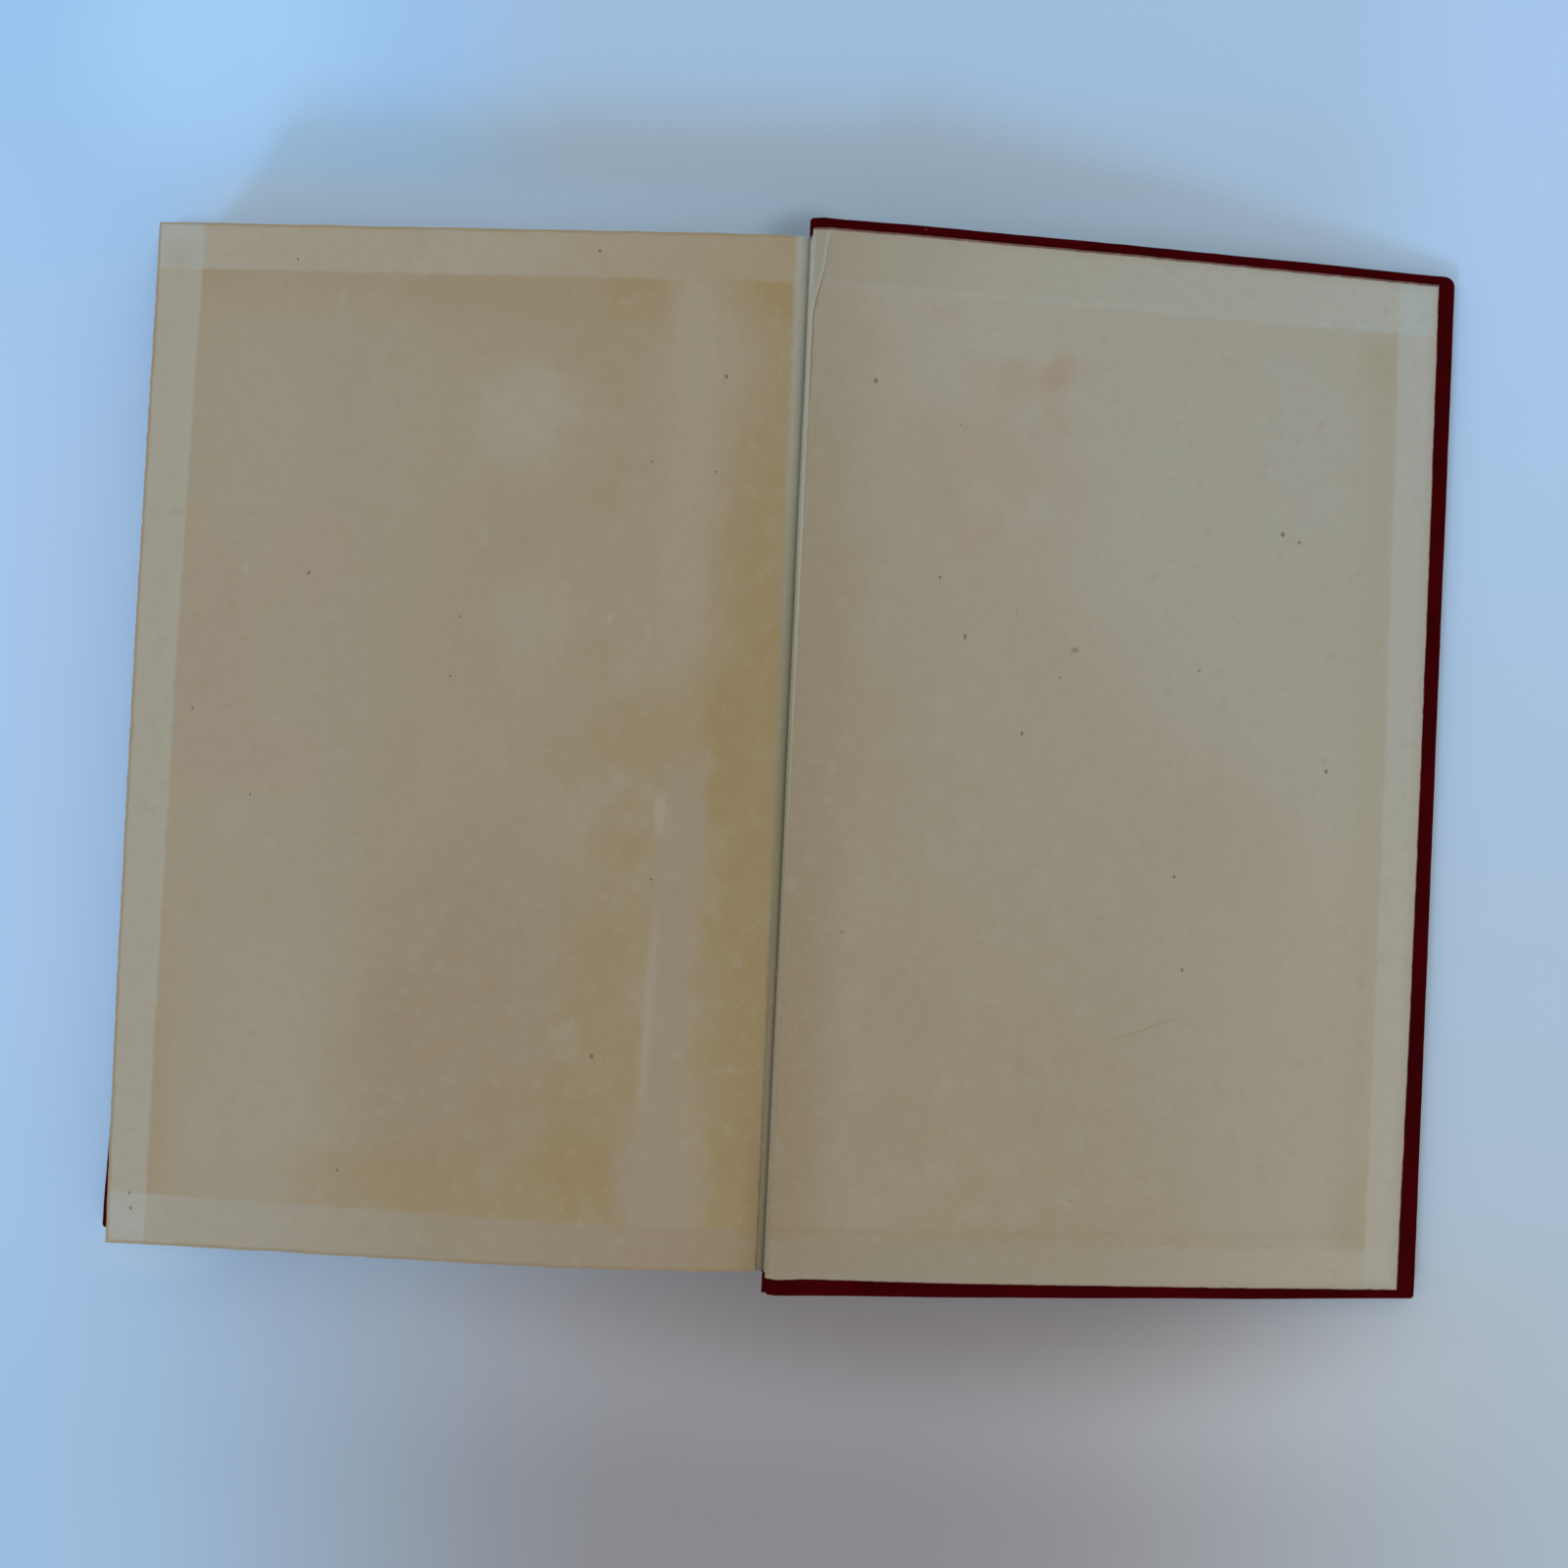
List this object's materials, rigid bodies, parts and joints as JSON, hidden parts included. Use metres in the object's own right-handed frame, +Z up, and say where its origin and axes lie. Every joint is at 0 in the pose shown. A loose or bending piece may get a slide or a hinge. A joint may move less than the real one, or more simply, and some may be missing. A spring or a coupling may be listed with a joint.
{
  "type": "open book",
  "caption": "Old cloth-bound hardback lying open at its back endpapers, with hinged front and back covers and a rounded text block.",
  "frame": {"origin": "on the table, under the middle of the open book's bounding box", "axes": "+X from the front cover's fore-edge, across the spine, to the opened back cover's fore-edge; +Y from tail to head; +Z up from the table, through the text block"},
  "size_m": [0.2566, 0.1986, 0.0237],
  "materials": {
    "cloth": "dark red book cloth, worn at the edges",
    "endpaper": "matt cream paper with brown toning",
    "page_paper": "matt aged paper edges",
    "lining_paper": "brown kraft paper",
    "board": "grey-brown millboard",
    "mull": "open-weave cotton gauze"
  },
  "bodies": {
    "text_block": {"pages": "page_paper", "front_flyleaf": "endpaper", "back_flyleaf": "endpaper", "spine_mull": "mull", "spine_lining": "lining_paper", "spine_inlay": "board", "spine_cloth": "cloth"},
    "front_cover": {"front_board": "board", "front_cover_cloth": "cloth", "front_mull_flap": "mull", "front_pastedown": "endpaper"},
    "back_cover": {"back_board": "board", "back_cover_cloth": "cloth", "back_mull_flap": "mull", "back_pastedown": "endpaper"}
  },
  "joints": [
    {"name": "front_cover_hinge", "type": "hinge", "parent": "text_block", "child": "front_cover", "pos_m": [-0.00148, 0, 0.00258], "axis": [0, -1, 0], "range_deg": [0, 170]},
    {"name": "back_cover_hinge", "type": "hinge", "parent": "text_block", "child": "back_cover", "pos_m": [0.00312, 0, 0.02322], "axis": [0, -1, 0], "range_deg": [-5, 189.3]}
  ]
}
